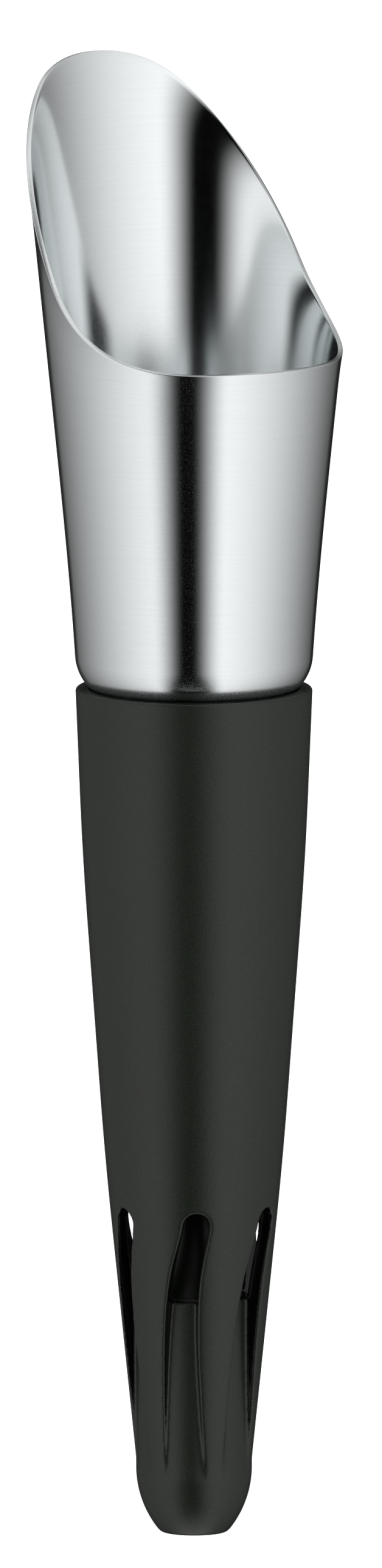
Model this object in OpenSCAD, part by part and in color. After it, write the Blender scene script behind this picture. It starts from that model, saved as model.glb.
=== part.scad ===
// Wine aerator pourer: a steel scoop cup on a tapered stopper with swirl slots.
// The origin is on the axis, at the height where the stopper seats in a bottle's
// mouth. +Z runs up the axis to the spout. The cup's low side is at -Y and its
// pouring lip at +Y. Angles round the axis count from -Y towards +X.

/* [Stopper] */
// Outside diameter where the stopper seats in the bottle's mouth
seat_d = 18.5; // [17.5:0.1:20]
// Height of the collar's top above the seat
collar_h = 31; // [26:0.5:36]
// Length of the nearly straight collar
collar_l = 15.5; // [8:0.5:20]
// Lean of the collar's side, in degrees
collar_lean = 2.3; // [0:0.1:3.5]
// Lean of the side at the seat, in degrees
plug_lean = 4.2; // [3.5:0.1:5]
// Depth below the seat at which the side starts to taper faster
knee_drop = 13; // [9:0.5:16]
// Lean of the side along the slots, in degrees
tip_lean = 5.85; // [5:0.05:6.5]
// Length over which one lean runs into the next
lean_blend = 12; // [4:1:16]
// Rounding of the collar's top edge
collar_edge_r = 0.3; // [0.1:0.05:0.5]
// Wall at the top of the slots
slot_wall = 1.1; // [0.8:0.05:1.6]

/* [Core and nose] */
// Diameter of the solid core between the slots
core_d = 10.8; // [9.8:0.1:11.4]
// Depth of the core's top below the seat
core_drop = 26; // [24:0.5:30]
// Width of the ledge between the core's edge and the cone on its top
core_ledge_w = 1.1; // [1.05:0.05:2]
// Depth of the cone's tip below the seat
cone_drop = 17.3; // [17:0.1:20]
// Radius of the cone's round tip
cone_tip_r = 1.8; // [1:0.1:2.2]
// Depth below the seat at which the nose starts to round
nose_drop = 42; // [41:0.5:45]
// Length of the rounded nose
nose_l = 6.2; // [4.5:0.1:7]
// Radius of the nose's side, seen from the side
nose_side_r = 9.5; // [8:0.5:14]
// Rounding of the edge of the nose's flat end
nose_edge_r = 0.7; // [0.3:0.1:1.5]

/* [Swirl slots] */
// Number of slots
slot_n = 6; // [4:1:7]
// Depth of a slot's round top below the seat
slot_drop = 17.3; // [15:0.1:20]
// Width of a slot at its top
slot_top_w = 2.65; // [2:0.05:3]
// Width of a slot at its lower end
slot_low_w = 3.85; // [2.8:0.05:4.2]
// Depth below the seat of the bend in a slot's S
slot_bend_drop = 22.8; // [21:0.1:25]
// Depth below the seat at which a slot has run out of the side
slot_low_drop = 43; // [42:0.5:46]
// Turn of a slot's round top past its lower end, in degrees
slot_top_turn = 10.6; // [0:0.2:20]
// Pull on the upper half of the S, in degrees
slot_upper_pull = 5.5; // [0:0.5:15]
// Pull on the lower half of the S, in degrees
slot_lower_pull = -7.5; // [-15:0.5:0]
// Turn of the slots against the cup, in degrees
slot_turn = 15.6; // [0:0.2:60]

/* [Steel cup] */
// Thickness of the sheet
sheet_t = 0.5; // [0.4:0.05:0.7]
// Outside radius of the round corner under the cup's wall
corner_r = 4.4; // [3.6:0.1:5]
// Distance of the corner's centre line from the axis
corner_centre_r = 6.67; // [6.2:0.05:7]
// Lean of the wall just above the corner, in degrees
base_lean = 3.8; // [2:0.1:5]
// Height of the stretch with that lean
base_h = 7.3; // [5:0.1:10]
// Lean of the flared wall above it, in degrees
flare_lean = 5.85; // [4:0.05:8]
// Height over which the base lean runs into the flare
flare_blend_h = 10.3; // [6:0.1:14]
// Height of the rim's low side above the collar
low_rim_h = 31.2; // [26:0.2:36]
// Distance of the scoop's lowest point from the axis
scoop_foot_y = 11.56; // [9:0.1:13]
// Radius of the scoop's hollow curve
scoop_r = 17.66; // [14:0.1:22]
// Slope of the scoop's straight stretch, in degrees
scoop_slope = 55.6; // [48:0.2:62]
// Distance from the axis at which the rim starts to round over to the lip
lip_start_y = 14.1; // [12:0.1:15]
// Radius of the rounding at the pouring lip
lip_r = 15.3; // [10:0.1:25]

/* [Neck joint] */
// Outside diameter of the cup's neck
neck_d = 17.2; // [16.4:0.1:17.8]
// Radius of the hollow between the neck and the round corner
neck_fillet_r = 0.8; // [0.5:0.1:1.2]
// Depth of the neck's upper end below the collar's top
neck_drop = 1.2; // [1:0.1:2]
// Depth of the ledge that carries the neck below the collar's top
socket_l = 10; // [7:0.5:13]
// Gap between the cup's round corner and the mouth of the collar
mouth_gap = 0.1; // [0.05:0.05:0.2]
// Gap round the neck in its socket
neck_gap = 0.03; // [0.01:0.01:0.1]
// Play of the sealing ring in its groove, up and down
ring_play = 0.2; // [0.1:0.05:0.5]

/* [Hidden] */
$fn = 128;
overcut = 1;
steps = 10;

// Outer side of the stopper, as the radius at each change of lean
seat_r = seat_d / 2;
core_r = core_d / 2;
knee_z = collar_h - collar_l;
knee_r = seat_r + knee_z * tan(plug_lean);
collar_r = knee_r + collar_l * tan(collar_lean);
tip_knee_r = seat_r - knee_drop * tan(plug_lean);
function tip_side_r(z) = tip_knee_r + (z + knee_drop) * tan(tip_lean);

// Neck and round corner of the cup. The corner's arc and the neck's fillet touch on
// the line between their centres.
neck_r = neck_d / 2;
neck_top_z = collar_h - neck_drop;
ledge_z = collar_h - socket_l;
fillet_x = neck_r + neck_fillet_r;
fillet_reach = fillet_x - corner_centre_r;
corner_z = neck_top_z + sqrt(pow(corner_r + neck_fillet_r, 2) - pow(fillet_reach, 2));
touch_angle = asin(fillet_reach / (corner_r + neck_fillet_r)) - 90;
corner_mouth_r = corner_centre_r + sqrt(pow(corner_r, 2) - pow(corner_z - collar_h, 2));

// Mouth of the stopper and the groove for the ring
mouth_r = corner_mouth_r + mouth_gap;
ring_section_r = (mouth_r - neck_r) / 2;
groove_z = neck_top_z - 2 * ring_section_r - ring_play;
socket_r = neck_r + neck_gap;

// Bore of the stopper, flush with the neck's inside at its top
bore_top_r = neck_r - sheet_t;
bore_low_r = tip_side_r(-slot_drop) - slot_wall;

// Side view of the scoop: a hollow curve, a straight slope and the rounding at the lip
low_rim_z = collar_h + low_rim_h;
slope_y = -scoop_foot_y + scoop_r * sin(scoop_slope);
slope_z = low_rim_z + scoop_r * (1 - cos(scoop_slope));
lip_start_z = slope_z + (lip_start_y - slope_y) * tan(scoop_slope);
lip_centre_y = lip_start_y + lip_r * sin(scoop_slope);
lip_centre_z = lip_start_z - lip_r * cos(scoop_slope);
wall_top_z = lip_centre_z + lip_r;

function between(a, b, n) = [for (i = [0:n]) a + (b - a) * i / n];
function reversed(list) = [for (i = [len(list) - 1:-1:0]) list[i]];
function arc(centre, r, from, to) =
    [for (a = between(from, to, 2 * steps)) centre + r * [cos(a), sin(a)]];
function bend(a, b, c) =
    [for (t = between(0, 1, steps)) (1 - t) * (1 - t) * a + 2 * t * (1 - t) * b + t * t * c];
function s_curve(a, b, c, d, t) =
    pow(1 - t, 3) * a + 3 * pow(1 - t, 2) * t * b + 3 * (1 - t) * t * t * c + pow(t, 3) * d;

// Corner of an outline where one lean runs into another, spread over lean_blend
function lean_corner(r, z, lean_above, lean_below) = bend(
    [r + lean_blend / 2 * tan(lean_above), z + lean_blend / 2],
    [r, z],
    [r - lean_blend / 2 * tan(lean_below), z - lean_blend / 2]);

// Side of the cup from the neck's lower end up to the wall's top. An inset of 0 gives
// the outside of the sheet, and an inset of sheet_t its inside.
function cup_side(inset) =
    let (
        wall_foot = [corner_centre_r, corner_z]
            + (corner_r - inset) * [cos(base_lean), -sin(base_lean)],
        wall_bend = wall_foot + base_h * [tan(base_lean), 1],
        flare_foot = wall_bend + flare_blend_h * [tan(flare_lean), 1],
        flare_h = wall_top_z - flare_foot.y,
        wall_top = flare_foot + flare_h * [tan(flare_lean), 1]
    )
    concat(
        [[neck_r - inset, ledge_z]],
        arc([fillet_x, neck_top_z], neck_fillet_r + inset, 180, touch_angle + 180),
        arc([corner_centre_r, corner_z], corner_r - inset, touch_angle, -base_lean),
        bend(wall_foot, wall_bend, flare_foot),
        [wall_top]
    );

module spout_cup() {
    color([0.78, 0.79, 0.8])
    difference() {
        rotate_extrude() polygon(concat(cup_side(0), reversed(cup_side(sheet_t))));
        scoop_cut();
    }
}

// Everything above the rim's line: its side view, drawn across the whole cup
module scoop_cut() {
    reach = 2 * wall_top_z;
    rotate([90, 0, 90])
        linear_extrude(reach, center = true)
            polygon(concat(
                [[-reach, wall_top_z + overcut], [-reach, low_rim_z]],
                arc([-scoop_foot_y, low_rim_z + scoop_r], scoop_r, -90, scoop_slope - 90),
                arc([lip_centre_y, lip_centre_z], lip_r, scoop_slope + 90, 90),
                [[lip_centre_y, wall_top_z + overcut]]
            ));
}

// Round sealing ring, lying in the groove between the neck and the collar's mouth
module seal_ring() {
    color([0.08, 0.08, 0.08])
    translate([0, 0, groove_z + ring_section_r])
        rotate_extrude()
            translate([neck_r + ring_section_r, 0]) circle(r = ring_section_r, $fn = 32);
}

module stopper_body() {
    color([0.2, 0.2, 0.2])
    difference() {
        rotate_extrude() polygon(stopper_side());
        rotate_extrude() polygon(bore_side());
        difference() {
            for (i = [0:slot_n - 1])
                rotate([0, 0, slot_turn + i * 360 / slot_n]) swirl_slot();
            translate([0, 0, -core_drop - 2 * slot_low_drop])
                cylinder(r = core_r, h = 2 * slot_low_drop);
        }
    }
}

// Outside of the stopper from the collar's top down. The leaning side ends where it
// meets the core, and the nose rounds off below.
function stopper_side() =
    let (
        core_meet_z = -knee_drop - (tip_knee_r - core_r) / tan(tip_lean),
        nose_centre = [core_r - nose_side_r, -nose_drop],
        edge_angle = asin((nose_l - nose_edge_r) / (nose_side_r - nose_edge_r)),
        edge_centre = nose_centre
            + (nose_side_r - nose_edge_r) * [cos(edge_angle), -sin(edge_angle)]
    )
    concat(
        [[0, collar_h]],
        arc([collar_r - collar_edge_r, collar_h - collar_edge_r], collar_edge_r, 90, 0),
        lean_corner(knee_r, knee_z, collar_lean, plug_lean),
        lean_corner(tip_knee_r, -knee_drop, plug_lean, tip_lean),
        core_meet_z > -nose_drop ? [[core_r, core_meet_z]] : [],
        arc(nose_centre, nose_side_r, 0, -edge_angle),
        arc(edge_centre, nose_edge_r, -edge_angle, -90),
        [[0, -nose_drop - nose_l]]
    );

// Mouth, groove, socket and bore of the stopper. The core's cone stands up into its lower
// end and leads the wine from the slots into the bore.
function bore_side() =
    let (
        cone_foot = [core_r - core_ledge_w, -core_drop],
        tip_centre = [0, -cone_drop - cone_tip_r],
        foot_reach = cone_foot - tip_centre,
        side_angle = atan2(foot_reach.y, foot_reach.x) + acos(cone_tip_r / norm(foot_reach))
    )
    concat(
        [
            [0, collar_h + overcut],
            [mouth_r, collar_h + overcut],
            [mouth_r, groove_z],
            [socket_r, groove_z],
            [socket_r, ledge_z],
            [bore_top_r, ledge_z],
            [bore_low_r, -slot_drop],
            [core_r, -core_drop],
            cone_foot
        ],
        arc(tip_centre, cone_tip_r, side_angle, 90)
    );

// One S-shaped slot as a wedge with radial sides, from its round top down
module swirl_slot() {
    top_half_w = slot_top_w / 2;
    top_z = -slot_drop - top_half_w;
    bend_z = -slot_bend_drop;
    low_z = -slot_low_drop;
    inner_r = core_r - overcut;
    outer_r = collar_r;
    crown = [for (a = between(84, 12, 6))
        [slot_top_turn, top_z + top_half_w * sin(a), top_half_w * cos(a)]];
    tail = [for (t = between(0, 1, 2 * steps))
        let (z = s_curve(top_z, bend_z, bend_z, low_z, t))
        [s_curve(slot_top_turn, slot_upper_pull, slot_lower_pull, 0, t), z,
            top_half_w + (slot_low_w / 2 - top_half_w) * (top_z - z) / (top_z - low_z)]];
    rings = concat(crown, tail);
    function corner(ring, side, r) =
        let (a = ring[0] + side * ring[2] / tip_side_r(ring[1]) * 180 / PI)
        [r * sin(a), -r * cos(a), ring[1]];
    points = [for (ring = rings) each [
        corner(ring, -1, inner_r), corner(ring, -1, outer_r),
        corner(ring, 1, outer_r), corner(ring, 1, inner_r)]];
    last = 4 * (len(rings) - 1);
    walls = [for (i = [0:len(rings) - 2]) for (j = [0:3])
        let (a = 4 * i + j, b = 4 * i + (j + 1) % 4)
        each [[a, b, b + 4], [a, b + 4, a + 4]]];
    polyhedron(points, concat([[3, 2, 1, 0]], walls, [[last, last + 1, last + 2, last + 3]]));
}

spout_cup();
seal_ring();
stopper_body();
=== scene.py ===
import math

import bmesh
import bpy
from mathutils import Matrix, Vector


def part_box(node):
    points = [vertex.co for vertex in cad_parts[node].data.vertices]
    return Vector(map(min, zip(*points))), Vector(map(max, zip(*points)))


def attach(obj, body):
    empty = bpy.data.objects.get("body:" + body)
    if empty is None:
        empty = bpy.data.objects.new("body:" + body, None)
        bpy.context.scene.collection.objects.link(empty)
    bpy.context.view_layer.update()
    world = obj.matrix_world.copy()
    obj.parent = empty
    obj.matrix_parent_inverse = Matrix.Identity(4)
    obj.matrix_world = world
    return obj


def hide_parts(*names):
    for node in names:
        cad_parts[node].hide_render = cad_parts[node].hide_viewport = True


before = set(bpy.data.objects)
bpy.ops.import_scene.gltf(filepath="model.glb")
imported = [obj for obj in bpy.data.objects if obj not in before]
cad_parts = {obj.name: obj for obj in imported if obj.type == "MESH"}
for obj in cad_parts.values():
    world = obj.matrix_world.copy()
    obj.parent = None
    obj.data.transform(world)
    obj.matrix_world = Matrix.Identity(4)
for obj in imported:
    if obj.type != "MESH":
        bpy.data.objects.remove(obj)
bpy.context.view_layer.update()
mm = 0.001
bpy.ops.object.select_all(action="DESELECT")


# Stopper body. Black plastic with a fine spark-eroded grain, moulded in one piece: a
# collar that holds the cup, a tapered plug, and six S-shaped slots round a solid core with
# a cone on its top and a blunt nose below. It wedges in the bottle's mouth.
stopper_low, stopper_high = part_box("stopper_body")
cup_low, cup_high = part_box("spout_cup")
ring_low, ring_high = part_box("seal_ring")
collar_top = stopper_high.z
nose_tip = stopper_low.z

seat_r = 9.25 * mm
collar_l = 15.5 * mm
collar_lean = math.radians(2.3)
plug_lean = math.radians(4.2)
tip_knee_z = -13 * mm
tip_lean = math.radians(5.85)
lean_blend = 12 * mm
collar_edge_r = 0.3 * mm
mouth_edge_r = 0.15 * mm

core_r = 5.4 * mm
core_top = -26 * mm
core_ledge_w = 1.1 * mm
cone_tip_z = -17.3 * mm
cone_tip_r = 1.8 * mm
cone_cap_angle = 84
nose_start = -42 * mm
nose_side_r = 9.5 * mm
nose_edge_r = 0.7 * mm

slot_count = 6
slot_top = -17.3 * mm
slot_low = -43 * mm
slot_bend = -22.8 * mm
slot_top_half_w = 1.325 * mm
slot_low_half_w = 1.925 * mm
slot_turns = [math.radians(a) for a in (10.6, 5.5, -7.5, 0)]
slot_start = math.radians(15.6)
slot_steps = 40
slot_top_steps = 15
slot_wall = 1.1 * mm
floor_dip = 0.16 * mm
cut_into_core = 1 * mm

# The slotted end is melted on a fine grid, which takes a little off its walls
melt_wall = 0.15 * mm
melt_grid = 0.12 * mm
melt_rounds = 20
melt_pull = 0.5
melt_faces_kept = 0.225
askew = (("X", 0.5), ("Y", 0.65))
weld_z = -12.5 * mm
weld_h = 0.3 * mm
moulded_crease = math.radians(35)

sheet_t = 0.5 * mm
neck_gap = 0.03 * mm
neck_r = -ring_low.x - (ring_high.z - ring_low.z)
mouth_r = ring_high.x
ledge_z = cup_low.z
groove_z = ring_low.z

around = 192
arc_steps = 16
# Points or heights that are closer than this count as one
same_point = 1e-7
same_height = 1e-6


def arc(centre, r, start, end):
    """Round stretch of an outline, as points of radius and height. Angles in degrees."""
    angles = [math.radians(start + (end - start) * i / arc_steps) for i in range(arc_steps + 1)]
    return [(centre[0] + r * math.cos(a), centre[1] + r * math.sin(a)) for a in angles]


def bend(a, b, c):
    """Stretch of an outline that leaves the line a-b and runs into the line b-c."""
    shares = [i / arc_steps for i in range(arc_steps + 1)]
    return [tuple((1 - t) ** 2 * a[k] + 2 * t * (1 - t) * b[k] + t * t * c[k] for k in (0, 1))
            for t in shares]


def lean_corner(r, z, lean_above, lean_below):
    """Corner of the side at radius r and height z, spread over lean_blend."""
    half = lean_blend / 2
    return bend((r + half * math.tan(lean_above), z + half), (r, z),
                (r - half * math.tan(lean_below), z - half))


def make_active(piece):
    """Leaves edit mode and selects one piece alone."""
    if bpy.context.mode != "OBJECT":
        bpy.ops.object.mode_set(mode="OBJECT")
    bpy.ops.object.select_all(action="DESELECT")
    piece.select_set(True)
    bpy.context.view_layer.objects.active = piece


def turn_outline(name, outline, fill):
    """Turned piece: a circle at the outline's first point, pulled out ring by ring."""
    r, z = outline[0]
    bpy.ops.mesh.primitive_circle_add(vertices=around, radius=r, fill_type=fill,
                                      location=(0, 0, z))
    piece = bpy.context.object
    piece.name = name
    bpy.ops.object.transform_apply()
    bpy.ops.object.mode_set(mode="EDIT")
    for next_r, next_z in outline[1:]:
        if abs(next_r - r) + abs(next_z - z) < same_point:
            continue
        bpy.ops.mesh.extrude_region_move(TRANSFORM_OT_translate={"value": (0, 0, next_z - z)})
        bpy.ops.transform.resize(value=(next_r / r, next_r / r, 1), center_override=(0, 0, 0))
        r, z = next_r, next_z
    return piece


def pick(piece, test):
    """Selects the points of a piece in edit mode whose place passes the test."""
    bpy.ops.mesh.select_mode(type="VERT")
    mesh = bmesh.from_edit_mesh(piece.data)
    for point in mesh.verts:
        point.select = test(point.co)
    mesh.select_flush_mode()
    bmesh.update_edit_mesh(piece.data)


def point_faces_outwards():
    """Turns all faces of the piece in edit mode outwards."""
    bpy.ops.mesh.select_all(action="SELECT")
    bpy.ops.mesh.normals_make_consistent(inside=False)


def finish_with(piece, kind, **settings):
    """Adds a modifier to a piece and applies it."""
    make_active(piece)
    modifier = piece.modifiers.new(kind.lower(), kind)
    for setting, value in settings.items():
        setattr(modifier, setting, value)
    bpy.ops.object.modifier_apply(modifier=modifier.name)


def tip_side_r(z):
    """Radius of the stopper's side at height z, below its lower knee."""
    return tip_knee_r + (z - tip_knee_z) * math.tan(tip_lean)


knee_z = collar_top - collar_l
knee_r = seat_r + knee_z * math.tan(plug_lean)
collar_r = knee_r + collar_l * math.tan(collar_lean)
tip_knee_r = seat_r + tip_knee_z * math.tan(plug_lean)
nose_centre = (core_r - nose_side_r, nose_start)
edge_reach = nose_side_r - nose_edge_r
edge_angle = math.asin((nose_start - nose_tip - nose_edge_r) / edge_reach)
edge_centre = (nose_centre[0] + edge_reach * math.cos(edge_angle),
               nose_centre[1] - edge_reach * math.sin(edge_angle))
core_meet_z = tip_knee_z - (tip_knee_r - core_r) / math.tan(tip_lean)
stopper_side = (
    arc((collar_r - collar_edge_r, collar_top - collar_edge_r), collar_edge_r, 90, 0)
    + lean_corner(knee_r, knee_z, collar_lean, plug_lean)
    + lean_corner(tip_knee_r, tip_knee_z, plug_lean, tip_lean)
    + [(core_r, core_meet_z)]
    + arc(nose_centre, nose_side_r, 0, -math.degrees(edge_angle))
    + arc(edge_centre, nose_edge_r, -math.degrees(edge_angle), -90)
)
cone_foot = (core_r - core_ledge_w, core_top)
tip_centre = (0, cone_tip_z - cone_tip_r)
foot_drop = tip_centre[1] - core_top
cone_side_angle = math.degrees(
    math.acos(cone_tip_r / math.hypot(cone_foot[0], foot_drop))
    - math.atan2(foot_drop, cone_foot[0]))
bore_low_r = tip_side_r(slot_top) - slot_wall - melt_wall
bore_top_r = neck_r - sheet_t
bore_side = arc(tip_centre, cone_tip_r, cone_cap_angle, cone_side_angle) + [
    cone_foot,
    (core_r, core_top),
    (bore_low_r, slot_top),
    (bore_top_r, ledge_z),
    (neck_r + neck_gap, ledge_z),
    (neck_r + neck_gap, groove_z),
    (mouth_r, groove_z),
] + arc((mouth_r + mouth_edge_r, collar_top - mouth_edge_r), mouth_edge_r, 180, 90)
stopper = turn_outline("stopper", bore_side + stopper_side, "NGON")
point_faces_outwards()
make_active(stopper)


def s_curve(values, t):
    """Value at share t along a slot, from its round top to its lower end."""
    weights = ((1 - t) ** 3, 3 * (1 - t) ** 2 * t, 3 * (1 - t) * t * t, t ** 3)
    return sum(w * v for w, v in zip(weights, values))


def slot_rings():
    """Turn, height and half angle of a slot from its lower end up to its round top."""
    tail_top = slot_top - slot_top_half_w
    heights = (tail_top, slot_bend, slot_bend, slot_low)
    rings = []
    for i in range(slot_steps, -1, -1):
        z = s_curve(heights, i / slot_steps)
        share = (tail_top - z) / (tail_top - slot_low)
        half_w = slot_top_half_w + (slot_low_half_w - slot_top_half_w) * share
        rings.append((s_curve(slot_turns, i / slot_steps), z, half_w / tip_side_r(z)))
    for i in range(1, slot_top_steps):
        a = math.radians(90 * i / slot_top_steps)
        z = tail_top + slot_top_half_w * math.sin(a)
        rings.append((slot_turns[0], z, slot_top_half_w * math.cos(a) / tip_side_r(z)))
    return rings


# One slot's cutter is pulled up ring by ring, turned to its S, and copied round the axis
cut_in_r = core_r - cut_into_core
cut_out_r = collar_r
rings = slot_rings()
_, z, half = rings[0]
middle = (0, -(cut_in_r + cut_out_r) / 2, z)
bpy.ops.mesh.primitive_plane_add(size=1, location=middle)
cutter = bpy.context.object
bpy.ops.object.transform_apply()
bpy.ops.object.mode_set(mode="EDIT")
bpy.ops.transform.resize(value=(2 * cut_in_r * math.tan(half), cut_out_r - cut_in_r, 1),
                         center_override=middle)
pick(cutter, lambda co: co.y < middle[1])
bpy.ops.transform.resize(value=(cut_out_r / cut_in_r, 1, 1), center_override=middle)
bpy.ops.mesh.select_all(action="SELECT")
for _, next_z, next_half in rings[1:]:
    bpy.ops.mesh.extrude_region_move(TRANSFORM_OT_translate={"value": (0, 0, next_z - z)})
    bpy.ops.transform.resize(value=(math.tan(next_half) / math.tan(half), 1, 1),
                             center_override=(0, 0, 0))
    z, half = next_z, next_half
for turn, z, _ in rings:
    pick(cutter, lambda co: abs(co.z - z) < same_height)
    bpy.ops.transform.rotate(value=-(slot_start + turn), orient_axis="Z",
                             center_override=(0, 0, 0))
point_faces_outwards()
make_active(cutter)
cutters = [cutter]
for i in range(1, slot_count):
    make_active(cutter)
    bpy.ops.object.duplicate()
    bpy.ops.transform.rotate(value=2 * math.pi * i / slot_count, orient_axis="Z",
                             center_override=(0, 0, 0))
    bpy.ops.object.transform_apply()
    cutters.append(bpy.context.object)
for piece in cutters:
    piece.select_set(True)
bpy.context.view_layer.objects.active = cutter
bpy.ops.object.join()

# The core is kept out of the cutters, so the slots end on it
core = turn_outline("core", [
    (core_r, core_top),
    (core_r - floor_dip, core_meet_z),
    (core_r, slot_low),
    (core_r, 2 * slot_low),
], "NGON")
bpy.ops.mesh.edge_face_add()
point_faces_outwards()
finish_with(cutter, "BOOLEAN", operation="DIFFERENCE", solver="EXACT", object=core)
finish_with(stopper, "BOOLEAN", operation="DIFFERENCE", solver="EXACT", object=cutter)
bpy.data.objects.remove(core)
bpy.data.objects.remove(cutter)


def turn_mesh(piece, turns):
    """Turns a piece's mesh about the origin, by an angle about each named axis."""
    make_active(piece)
    bpy.ops.object.mode_set(mode="EDIT")
    bpy.ops.mesh.select_all(action="SELECT")
    for axis, angle in turns:
        bpy.ops.transform.rotate(value=angle, orient_axis=axis, center_override=(0, 0, 0))


# The slotted end is melted a little, as moulding rounds its edges, and joined on again.
# Meanwhile it lies askew, so that no slot runs along the grid of the remesh
make_active(stopper)
bpy.ops.object.duplicate()
slotted_end = bpy.context.object
turn_mesh(slotted_end, askew)
finish_with(slotted_end, "REMESH", mode="VOXEL", voxel_size=melt_grid, adaptivity=0)
finish_with(slotted_end, "SMOOTH", factor=melt_pull, iterations=melt_rounds)
turn_mesh(slotted_end, [(axis, -angle) for axis, angle in reversed(askew)])
finish_with(slotted_end, "DECIMATE", ratio=melt_faces_kept)
for piece, side in ((slotted_end, "above"), (stopper, "below")):
    make_active(piece)
    bpy.ops.object.mode_set(mode="EDIT")
    bpy.ops.mesh.select_all(action="SELECT")
    height = weld_z - weld_h / 2 if side == "above" else weld_z + weld_h / 2
    bpy.ops.mesh.bisect(plane_co=(0, 0, height), plane_no=(0, 0, 1), threshold=same_point,
                        clear_outer=side == "above", clear_inner=side == "below")
make_active(stopper)
slotted_end.select_set(True)
bpy.ops.object.join()


def turn_of(ring, i):
    """Turn of a ring's point about the axis, counted on past the end of the ring."""
    rounds, i = divmod(i, len(ring))
    return math.atan2(ring[i].co.y, ring[i].co.x) + 2 * math.pi * rounds


def zip_rings(mesh, low, high, outside):
    """Closes the band between two rings of points with triangles, side by side."""
    i = j = 0
    while i < len(low) or j < len(high):
        on_low = j == len(high) or i < len(low) and turn_of(low, i + 1) < turn_of(high, j + 1)
        corner = low[(i + 1) % len(low)] if on_low else high[(j + 1) % len(high)]
        face = (low[i % len(low)], corner, high[j % len(high)])
        mesh.faces.new(face if outside else reversed(face))
        i, j = (i + 1, j) if on_low else (i, j + 1)


bpy.ops.object.mode_set(mode="EDIT")
mid_wall_r = (tip_side_r(weld_z) + bore_low_r) / 2
mesh = bmesh.from_edit_mesh(stopper.data)
for outside in (True, False):
    open_ends = [point for point in mesh.verts if point.is_boundary
                 and (math.hypot(point.co.x, point.co.y) > mid_wall_r) == outside]
    open_ends.sort(key=lambda point: math.atan2(point.co.y, point.co.x))
    zip_rings(mesh, [point for point in open_ends if point.co.z < weld_z],
              [point for point in open_ends if point.co.z > weld_z], outside)
bmesh.update_edit_mesh(stopper.data)
make_active(stopper)
bpy.ops.object.shade_smooth_by_angle(angle=moulded_crease)

grain_scale = 9500
grain_detail = 2
grain_dark_at = 0.45
grain_light_at = 0.62
grain_strength = 0.6
least_outwards = 0.3


def paint(name):
    """New material, with its nodes, its links and its surface shader."""
    material = bpy.data.materials.new(name)
    material.use_nodes = True
    nodes = material.node_tree.nodes
    return material, nodes, material.node_tree.links, nodes["Principled BSDF"]


def shade_between(nodes, links, value, socket, dark, light, dark_at=0, light_at=1):
    """Colours a socket from dark to light as a pattern's value goes up."""
    tone = nodes.new("ShaderNodeValToRGB")
    tone.color_ramp.elements[0].position = dark_at
    tone.color_ramp.elements[0].color = dark
    tone.color_ramp.elements[1].position = light_at
    tone.color_ramp.elements[1].color = light
    links.new(value, tone.inputs["Fac"])
    links.new(tone.outputs["Color"], socket)


def raise_by(nodes, links, value, shader, strength, depth):
    """Raises the surface a little where a pattern's value goes up."""
    relief = nodes.new("ShaderNodeBump")
    relief.inputs["Strength"].default_value = strength
    relief.inputs["Distance"].default_value = depth
    links.new(value, relief.inputs["Height"])
    links.new(relief.outputs["Normal"], shader.inputs["Normal"])


def moulded_plastic(name, dark, light, relief_depth, roughness, gloss):
    """Black plastic with the grain that the wall of its mould left on it."""
    plastic, nodes, links, shader = paint(name)
    place = nodes.new("ShaderNodeTexCoord")
    grain = nodes.new("ShaderNodeTexNoise")
    grain.inputs["Scale"].default_value = grain_scale
    grain.inputs["Detail"].default_value = grain_detail
    links.new(place.outputs["Object"], grain.inputs["Vector"])
    shade_between(nodes, links, grain.outputs["Fac"], shader.inputs["Base Color"],
                  dark, light, grain_dark_at, grain_light_at)
    raise_by(nodes, links, grain.outputs["Fac"], shader, grain_strength, relief_depth)
    shader.inputs["Roughness"].default_value = roughness
    shader.inputs["Specular IOR Level"].default_value = gloss
    return plastic


outer_plastic = moulded_plastic(
    "spark_eroded_black_plastic", dark=(0.0, 0.0012, 0.0, 1), light=(0.0042, 0.0150, 0.0006, 1),
    relief_depth=0.02 * mm, roughness=0.4, gloss=0.55)
# Smoother, less glossy plastic for the slot walls, whose darker colour is painted shade
slot_plastic_painted_shade = moulded_plastic(
    "polished_black_plastic_painted_shade", dark=(0.0006, 0.0012, 0.0004, 1),
    light=(0.0014, 0.0022, 0.0012, 1), relief_depth=0.006 * mm, roughness=0.22, gloss=0.3)
stopper.data.materials.clear()
stopper.data.materials.append(outer_plastic)
stopper.data.materials.append(slot_plastic_painted_shade)
# The walls of the slots and of the chamber behind them were left smooth by their steel cores,
# and their darker colour is painted shade in these recesses
for face in stopper.data.polygons:
    aside = Vector((face.center.x, face.center.y, 0)).normalized()
    outwards = sum(stopper.data.vertices[i].normal.dot(aside) for i in face.vertices)
    if nose_start < face.center.z < weld_z and outwards / len(face.vertices) < least_outwards:
        face.material_index = 1
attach(stopper, "root")
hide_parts("stopper_body")


# Sealing ring. Round silicone cord in the groove between the cup's neck and the collar's
# mouth. It keeps the wine from creeping out at the joint and holds the cup by friction.
rubber, nodes, links, shader = paint("silicone_rubber")
place = nodes.new("ShaderNodeTexCoord")
bloom = nodes.new("ShaderNodeTexNoise")
bloom.inputs["Scale"].default_value = 900
links.new(place.outputs["Object"], bloom.inputs["Vector"])
shade_between(nodes, links, bloom.outputs["Fac"], shader.inputs["Base Color"],
              dark=(0.035, 0.035, 0.035, 1), light=(0.06, 0.06, 0.06, 1))
shader.inputs["Roughness"].default_value = 0.55
seal_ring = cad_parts["seal_ring"]
seal_ring.data.materials.clear()
seal_ring.data.materials.append(rubber)


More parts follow.
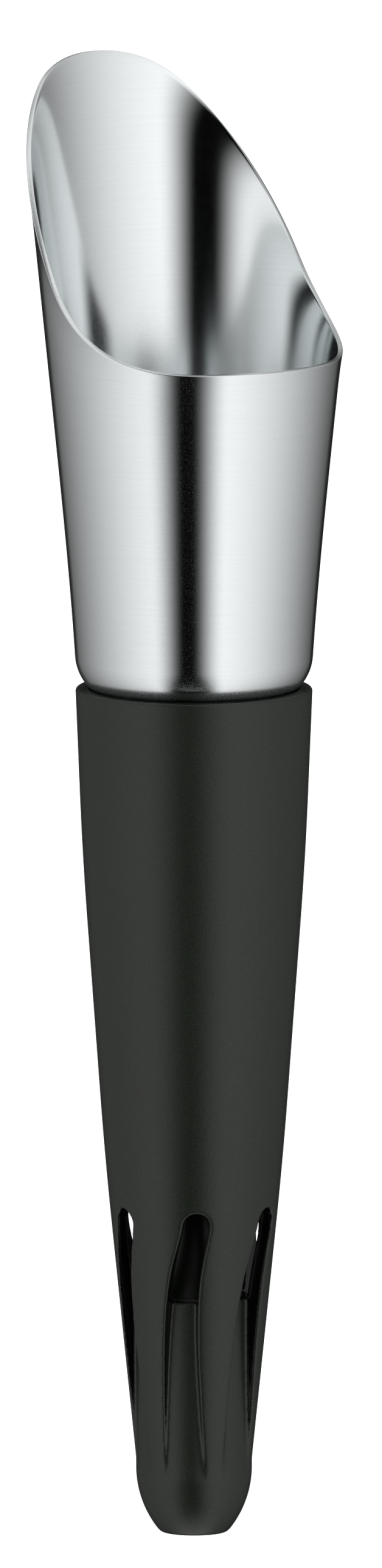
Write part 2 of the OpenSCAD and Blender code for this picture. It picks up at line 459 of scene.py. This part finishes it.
# Spout cup. Stainless steel sheet, deep drawn in one piece with a round bottom corner and
# a short open neck, cut on a slant to a pouring lip, and brushed round its axis. The neck
# is pushed through the sealing ring down to the stopper's ledge.
neck_top = 29.8 * mm
neck_fillet_r = 0.8 * mm
corner_r = 4.4 * mm
corner_centre_r = 6.67 * mm
base_lean = math.radians(3.8)
base_h = 7.3 * mm
flare_lean = math.radians(5.85)
flare_blend_h = 10.3 * mm
low_rim_z = 62.2 * mm
scoop_foot_y = 11.56 * mm
scoop_r = 17.66 * mm
scoop_slope = math.radians(55.6)
lip_start_y = 14.1 * mm
lip_r = 15.3 * mm
rim_round = 0.06 * mm
rim_round_steps = 3
rim_corner = math.radians(60)
edge_set = 0.12 * mm
edge_set_h = 8 * mm
edge_set_power = 5
wall_cuts = 60
slide_rounds = 20

fillet_x = neck_r + neck_fillet_r
fillet_reach = fillet_x - corner_centre_r
corner_z = neck_top + math.sqrt((corner_r + neck_fillet_r) ** 2 - fillet_reach ** 2)
touch = math.degrees(math.asin(fillet_reach / (corner_r + neck_fillet_r))) - 90
slope_y = -scoop_foot_y + scoop_r * math.sin(scoop_slope)
slope_z = low_rim_z + scoop_r * (1 - math.cos(scoop_slope))
lip_start_z = slope_z + (lip_start_y - slope_y) * math.tan(scoop_slope)
lip_centre = (lip_start_y + lip_r * math.sin(scoop_slope),
              lip_start_z - lip_r * math.cos(scoop_slope))


def rim_height(y):
    """Height of the cut rim at distance y from the axis, towards the lip."""
    if y < -scoop_foot_y:
        return low_rim_z
    if y < slope_y:
        return low_rim_z + scoop_r - math.sqrt(scoop_r ** 2 - (y + scoop_foot_y) ** 2)
    if y < lip_start_y:
        return slope_z + (y - slope_y) * math.tan(scoop_slope)
    return lip_centre[1] + math.sqrt(lip_r ** 2 - (lip_centre[0] - y) ** 2)


wall_foot = (corner_centre_r + corner_r * math.cos(base_lean),
             corner_z - corner_r * math.sin(base_lean))
wall_bend = (wall_foot[0] + base_h * math.tan(base_lean), wall_foot[1] + base_h)
flare_foot_r = wall_bend[0] + flare_blend_h * math.tan(flare_lean)
flare_foot_z = wall_bend[1] + flare_blend_h


def flare_r(z):
    """Radius of the wall's outside at height z, on the straight part of its flare."""
    return flare_foot_r + (z - flare_foot_z) * math.tan(flare_lean)


wall_top_z = cup_high.z
cup = turn_outline("cup", (
    [(neck_r, ledge_z)]
    + arc((fillet_x, neck_top), neck_fillet_r, 180, touch + 180)
    + arc((corner_centre_r, corner_z), corner_r, touch, -math.degrees(base_lean))
    + bend(wall_foot, wall_bend, (flare_foot_r, flare_foot_z))
    + [(flare_r(wall_top_z), wall_top_z)]
), "NOTHING")
# The wall's top ring slides down each straight line of the flare to the slanted rim
mesh = bmesh.from_edit_mesh(cup.data)
for point in mesh.verts:
    if abs(point.co.z - wall_top_z) < same_height:
        aside = Vector((point.co.x, point.co.y, 0)).normalized()
        z = wall_top_z
        for _ in range(slide_rounds):
            z = rim_height(flare_r(z) * aside.y)
        point.co = aside * flare_r(z)
        point.co.z = z
bmesh.update_edit_mesh(cup.data)
bpy.ops.mesh.select_mode(type="EDGE")
mesh = bmesh.from_edit_mesh(cup.data)
for edge in mesh.edges:
    low, high = sorted(point.co.z for point in edge.verts)
    edge.select = abs(low - flare_foot_z) < same_height and high - low > same_height
bmesh.update_edit_mesh(cup.data)
bpy.ops.mesh.subdivide_edgering(number_cuts=wall_cuts, interpolation="LINEAR", smoothness=0)
# Cutting and brushing the edge sets it outwards a little
mesh = bmesh.from_edit_mesh(cup.data)
for point in mesh.verts:
    below_rim = rim_height(point.co.y) - point.co.z
    if below_rim < edge_set_h:
        aside = Vector((point.co.x, point.co.y, 0)).normalized()
        share = 1 - max(below_rim, 0) / edge_set_h
        point.co += aside * edge_set * share ** edge_set_power
bmesh.update_edit_mesh(cup.data)
point_faces_outwards()
finish_with(cup, "SOLIDIFY", thickness=sheet_t, offset=-1, use_even_offset=True)
finish_with(cup, "BEVEL", width=rim_round, segments=rim_round_steps, limit_method="ANGLE",
            angle_limit=rim_corner)
bpy.ops.object.shade_smooth_by_angle(angle=rim_corner)
finish_with(cup, "WEIGHTED_NORMAL", keep_sharp=True)

# Lines of the brush are long round the axis and fine along it
line_scale = (90, 90, 14000)
line_detail = 3
line_dark_at = 0.25
line_light_at = 0.75
line_strength = 0.1
pit_scale = 15000
pit_start = 0.55
pit_full = 0.8
pit_dullness = 1.6
glint_stretch = 0.95
quarter_turn = 0.25


def brushed_steel(name, dark, light, relief_depth, roughness):
    """Steel with fine lines that run round the axis, where the brush or the draw left them."""
    metal, nodes, links, shader = paint(name)
    place = nodes.new("ShaderNodeTexCoord")
    stretch = nodes.new("ShaderNodeMapping")
    stretch.inputs["Scale"].default_value = line_scale
    links.new(place.outputs["Object"], stretch.inputs["Vector"])
    brush = nodes.new("ShaderNodeTexNoise")
    brush.inputs["Scale"].default_value = 1
    brush.inputs["Detail"].default_value = line_detail
    links.new(stretch.outputs["Vector"], brush.inputs["Vector"])
    shade_between(nodes, links, brush.outputs["Fac"], shader.inputs["Base Color"],
                  dark, light, line_dark_at, line_light_at)
    raise_by(nodes, links, brush.outputs["Fac"], shader, line_strength, relief_depth)
    pits = nodes.new("ShaderNodeTexNoise")
    pits.inputs["Scale"].default_value = pit_scale
    pits.inputs["Detail"].default_value = 0
    links.new(place.outputs["Object"], pits.inputs["Vector"])
    dull = nodes.new("ShaderNodeMapRange")
    dull.inputs["From Min"].default_value = pit_start
    dull.inputs["From Max"].default_value = pit_full
    dull.inputs["To Min"].default_value = roughness
    dull.inputs["To Max"].default_value = roughness * pit_dullness
    links.new(pits.outputs["Fac"], dull.inputs["Value"])
    links.new(dull.outputs["Result"], shader.inputs["Roughness"])
    round_axis = nodes.new("ShaderNodeTangent")
    round_axis.direction_type = "RADIAL"
    round_axis.axis = "Z"
    links.new(round_axis.outputs["Tangent"], shader.inputs["Tangent"])
    shader.inputs["Metallic"].default_value = 1
    shader.inputs["Anisotropic"].default_value = glint_stretch
    shader.inputs["Anisotropic Rotation"].default_value = quarter_turn
    return metal


outside_steel = brushed_steel(
    "brushed_stainless_steel", dark=(0.695, 0.721, 0.730, 1), light=(0.735, 0.761, 0.770, 1),
    relief_depth=0.001 * mm, roughness=0.18)
inside_steel = brushed_steel(
    "drawn_stainless_steel", dark=(0.72, 0.745, 0.75, 1), light=(0.75, 0.775, 0.78, 1),
    relief_depth=0.0006 * mm, roughness=0.13)
cup.data.materials.clear()
cup.data.materials.append(outside_steel)
cup.data.materials.append(inside_steel)
for face in cup.data.polygons:
    if face.normal.x * face.center.x + face.normal.y * face.center.y < 0:
        face.material_index = 1
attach(cup, "root")
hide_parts("spout_cup")


# Studio. A pale floor lies well below the part, which hangs by its stopper as it does in
# a bottle's mouth. A light tent stands round it: bright walls at the front on both sides,
# dim at the back, with a dark gap where the camera looks in.
view_azimuth = math.radians(-35.5)
view_elevation = math.radians(8.4)
towards_camera = Vector((math.sin(view_azimuth), -math.cos(view_azimuth), 0))
to_the_right = Vector((math.cos(view_azimuth), math.sin(view_azimuth), 0))
floor_z = -500 * mm
floor_w = 24
tent_r = 200 * mm
tent_top = 420 * mm
tent_level = 1.3
brightest = math.radians(1)
side_lamp_turn = math.radians(-150)
side_lamp_level = 0.07
side_lamp_focus = 2
wall_end = math.cos(math.radians(33))
wall_end_full = math.cos(math.radians(24))
back_level = 0.2
backdrop_low = 105 * mm
backdrop_high = 185 * mm
backdrop_edge = 0.3
backdrop_full = 0.8
backdrop_level = 0.5
waist_z = -13 * mm
gap_left = math.radians(-9)
gap_right = math.radians(-1.2)
gap_spread = math.radians(0.065) / mm
edge_fade = math.radians(29)

world = bpy.data.worlds.new("studio")
bpy.context.scene.world = world
world.use_nodes = True
world.node_tree.nodes["Background"].inputs["Color"].default_value = (1, 1, 1, 1)
world.node_tree.nodes["Background"].inputs["Strength"].default_value = 1

bpy.ops.mesh.primitive_plane_add(size=floor_w, location=(0, 0, floor_z))
floor = bpy.context.object
floor.name = "floor"
pale, nodes, links, shader = paint("pale_floor")
shader.inputs["Base Color"].default_value = (0.85, 0.85, 0.85, 1)
shader.inputs["Roughness"].default_value = 0.9
shader.inputs["Emission Color"].default_value = (1, 1, 1, 1)
rays = nodes.new("ShaderNodeLightPath")
seen = nodes.new("ShaderNodeMath")
seen.operation = "MAXIMUM"
links.new(rays.outputs["Is Camera Ray"], seen.inputs[0])
links.new(rays.outputs["Is Glossy Ray"], seen.inputs[1])
shown = nodes.new("ShaderNodeMath")
shown.operation = "MAXIMUM"
links.new(seen.outputs["Value"], shown.inputs[0])
links.new(rays.outputs["Is Transmission Ray"], shown.inputs[1])
links.new(shown.outputs["Value"], shader.inputs["Emission Strength"])
floor.data.materials.append(pale)

tent_h = tent_top - floor_z
bpy.ops.mesh.primitive_cylinder_add(vertices=around, radius=tent_r, depth=tent_h,
                                    end_fill_type="NOTHING",
                                    location=(0, 0, floor_z + tent_h / 2))
tent = bpy.context.object
tent.name = "light_tent"
bpy.ops.object.transform_apply()
tent.visible_camera = False
glow = bpy.data.materials.new("tent_wall")
glow.use_nodes = True
nodes, links = glow.node_tree.nodes, glow.node_tree.links
nodes.clear()
place = nodes.new("ShaderNodeTexCoord")
level_out = nodes.new("ShaderNodeVectorMath")
level_out.operation = "MULTIPLY"
level_out.inputs[1].default_value = (1 / tent_r, 1 / tent_r, 0)
links.new(place.outputs["Object"], level_out.inputs[0])


def facing(direction):
    """Cosine of the turn between a point of the tent wall and a direction."""
    dot = nodes.new("ShaderNodeVectorMath")
    dot.operation = "DOT_PRODUCT"
    dot.inputs[1].default_value = direction
    links.new(level_out.outputs["Vector"], dot.inputs[0])
    return dot.outputs["Value"]


def fade(value, low, high, to_low, to_high):
    """Soft step of a value from one level to another."""
    step = nodes.new("ShaderNodeMapRange")
    step.interpolation_type = "SMOOTHSTEP"
    for socket, number in zip(("From Min", "From Max", "To Min", "To Max"),
                              (low, high, to_low, to_high)):
        step.inputs[socket].default_value = number
    links.new(value, step.inputs["Value"])
    return step.outputs["Result"]


def maths(operation, a, b):
    """Sum, product or other Math of two values, either of them a plain number."""
    node = nodes.new("ShaderNodeMath")
    node.operation = operation
    for socket, value in zip(node.inputs, (a, b)):
        if isinstance(value, (int, float)):
            socket.default_value = value
        else:
            links.new(value, socket)
    return node.outputs["Value"]


def turned(angle):
    """Level direction, turned from the camera's towards the right."""
    return towards_camera * math.cos(angle) + to_the_right * math.sin(angle)


# The walls shine most at the front and fall to nothing straight behind
front_share = maths("MULTIPLY", maths("ADD", facing(turned(brightest)), 1), 0.5)
# The dark gap widens to the left above and below the waist, and to the right below it
turn = maths("ARCTAN2", facing(to_the_right), facing(towards_camera))
split = nodes.new("ShaderNodeSeparateXYZ")
links.new(place.outputs["Object"], split.inputs["Vector"])
height = split.outputs["Z"]
above_waist = maths("SUBTRACT", height, waist_z)
below_waist = maths("MAXIMUM", maths("MULTIPLY", above_waist, -1), 0)
spread_left = maths("MULTIPLY", maths("ABSOLUTE", above_waist, 0), gap_spread)
spread_right = maths("MULTIPLY", below_waist, gap_spread)
past_left = maths("SUBTRACT", maths("SUBTRACT", gap_left, spread_left), turn)
past_right = maths("SUBTRACT", turn, maths("ADD", spread_right, gap_right))
beside_gap = maths("ADD", fade(past_left, 0, edge_fade, 0, 1),
                   fade(past_right, 0, edge_fade, 0, 1))
front = maths("MULTIPLY", maths("MULTIPLY", front_share, beside_gap), tent_level)
# A weak lamp at the back on the left, and a pale backdrop above the height of the cup
at_side_lamp = maths("MAXIMUM", facing(turned(side_lamp_turn)), 0)
side_lamp = maths("MULTIPLY", maths("POWER", at_side_lamp, side_lamp_focus), side_lamp_level)
straight_behind = facing(-towards_camera)
walls = maths("MULTIPLY", maths("ADD", front, side_lamp),
              fade(straight_behind, wall_end, wall_end_full, 1, back_level))
backdrop = maths("MULTIPLY",
                 fade(straight_behind, backdrop_edge, backdrop_full, 0, backdrop_level),
                 fade(height, backdrop_low, backdrop_high, 0, 1))
lamp = nodes.new("ShaderNodeEmission")
links.new(maths("ADD", walls, backdrop), lamp.inputs["Strength"])
out = nodes.new("ShaderNodeOutputMaterial")
links.new(lamp.outputs["Emission"], out.inputs["Surface"])
tent.data.materials.append(glow)


# Camera. The photograph was taken from far away through a long lens and shows next to no
# perspective, so the camera has none. One millimetre of the part is 17.7 of its pixels.
photo_height = 2576
pixels_per_mm = 17.7
aim_right = -0.28 * mm
aim_z = 21.93 * mm
camera_reach = 1
aim = to_the_right * aim_right + Vector((0, 0, aim_z))
back = towards_camera * math.cos(view_elevation) + Vector((0, 0, math.sin(view_elevation)))
bpy.ops.object.camera_add(location=aim + back * camera_reach)
camera = bpy.context.object
camera.rotation_mode = "QUATERNION"
camera.rotation_quaternion = (-back).to_track_quat("-Z", "Y")
camera.data.type = "ORTHO"
camera.data.ortho_scale = photo_height / pixels_per_mm * mm
bpy.context.scene.camera = camera
bpy.context.scene.view_settings.view_transform = "Standard"
